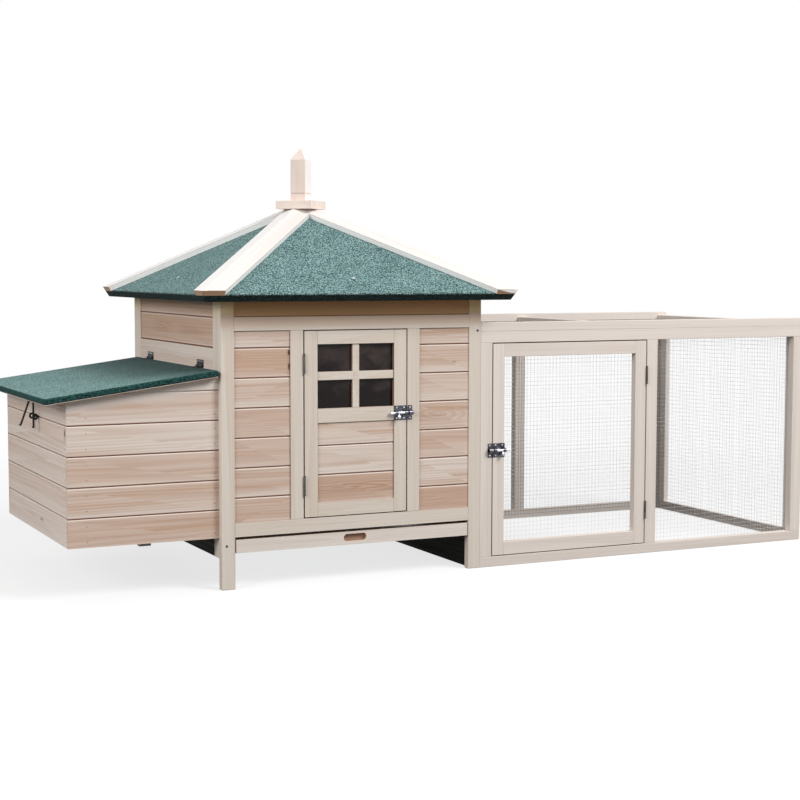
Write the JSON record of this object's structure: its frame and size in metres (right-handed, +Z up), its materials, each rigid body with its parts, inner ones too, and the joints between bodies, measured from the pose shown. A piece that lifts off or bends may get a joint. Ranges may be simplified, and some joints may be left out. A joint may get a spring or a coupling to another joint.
{
  "type": "chicken coop",
  "caption": "Timber chicken coop: raised square house under a felted pyramid roof, lidded nest box at one side, wire-mesh run with its own door at the other.",
  "frame": {"origin": "on the ground, under the middle of the whole coop's length and depth", "axes": "+X along the front from the nest box to the run, +Y from the front to the back, +Z up"},
  "size_m": [2.409, 0.9342, 1.202],
  "materials": {
    "frame_timber": "planed, unpainted",
    "board_timber": "planed, unpainted",
    "trim_timber": "planed, unpainted",
    "roof_felt": "mineral granules",
    "black_steel": "satin black",
    "bright_steel": "bright plated",
    "galvanised_sheet": "galvanised",
    "mesh_wire": "galvanised",
    "window_pane": "clear acrylic over a dark inside"
  },
  "bodies": {
    "coop": {"legs": "frame_timber", "house_rails": "frame_timber", "front_door_posts": "frame_timber", "front_boards": "board_timber", "back_boards": "board_timber", "side_wall_posts": "frame_timber", "side_wall_rails": "frame_timber", "left_wall_boards": "board_timber", "right_wall_boards": "board_timber", "hatch_guides": "frame_timber", "perch": "frame_timber", "tray_runners": "frame_timber", "roof_panels": "board_timber", "roof_felts": "roof_felt", "hip_strips": "trim_timber", "roof_plate": "trim_timber", "finial": "trim_timber", "nest_side_boards": "board_timber", "nest_end_boards": "board_timber", "nest_floor": "board_timber", "nest_battens": "frame_timber", "nest_divider": "board_timber", "run_side_posts": "frame_timber", "run_side_rails": "frame_timber", "run_end_posts": "frame_timber", "run_end_rails": "frame_timber", "run_top_rails": "frame_timber", "run_top_bars": "frame_timber", "run_front_mesh": "mesh_wire", "run_back_mesh": "mesh_wire", "run_end_mesh": "mesh_wire", "run_top_mesh": "mesh_wire", "door_stops": "frame_timber", "fixed_hinge_leaves": "black_steel", "hinge_pins": "black_steel", "bolt_keepers": "bright_steel", "wall_hook_eyes": "black_steel"},
    "house_door": {"house_door_stiles": "frame_timber", "house_door_rails": "frame_timber", "house_door_muntins": "frame_timber", "house_door_boards": "board_timber", "house_door_pane": "window_pane", "house_door_leaves": "black_steel", "house_bolt_barrel": "bright_steel"},
    "house_bolt": {"house_bolt_rod": "bright_steel"},
    "run_door": {"run_door_stiles": "frame_timber", "run_door_rails": "frame_timber", "run_door_mesh": "mesh_wire", "run_door_leaves": "black_steel", "run_bolt_barrel": "bright_steel"},
    "run_bolt": {"run_bolt_rod": "bright_steel"},
    "tray": {"tray_front": "frame_timber", "tray_pan": "galvanised_sheet"},
    "nest_lid": {"nest_lid_board": "board_timber", "nest_lid_felt": "roof_felt", "nest_lid_leaves": "black_steel", "lid_hook_eyes": "black_steel"},
    "straight_hook": {"straight_hook": "black_steel"},
    "leaning_hook": {"leaning_hook": "black_steel"},
    "hatch_door": {"hatch_door": "board_timber"}
  },
  "joints": [
    {"name": "house_door_swing", "type": "hinge", "parent": "coop", "child": "house_door", "pos_m": [-0.495, -0.393, 0.434], "axis": [0, 0, -1], "range_deg": [0, 170]},
    {"name": "house_bolt_slide", "type": "slide", "parent": "house_door", "child": "house_bolt", "axis": [1, 0, 0], "range_m": [0, 0.017]},
    {"name": "run_door_swing", "type": "hinge", "parent": "coop", "child": "run_door", "pos_m": [0.6135, -0.393, 0.337], "axis": [0, 0, 1], "range_deg": [0, 170]},
    {"name": "run_bolt_slide", "type": "slide", "parent": "run_door", "child": "run_bolt", "axis": [-1, 0, 0], "range_m": [0, 0.017]},
    {"name": "tray_slide", "type": "slide", "parent": "coop", "child": "tray", "axis": [0, -1, 0], "range_m": [0, 0.6]},
    {"name": "nest_lid_swing", "type": "hinge", "parent": "coop", "child": "nest_lid", "pos_m": [-0.735, -0.03, 0.59122], "axis": [0, 1, 0], "range_deg": [0, 75]},
    {"name": "straight_hook_swing", "type": "hinge", "parent": "nest_lid", "child": "straight_hook", "pos_m": [-1.15787, -0.09, 0.50593], "axis": [0, 1, 0], "range_deg": [-10, 60]},
    {"name": "leaning_hook_swing", "type": "hinge", "parent": "nest_lid", "child": "leaning_hook", "pos_m": [-1.15787, -0.055, 0.50593], "axis": [0, 1, 0], "range_deg": [-30, 40]},
    {"name": "hatch_slide", "type": "slide", "parent": "coop", "child": "hatch_door", "axis": [0, -1, 0], "range_m": [0, 0.2105]}
  ]
}
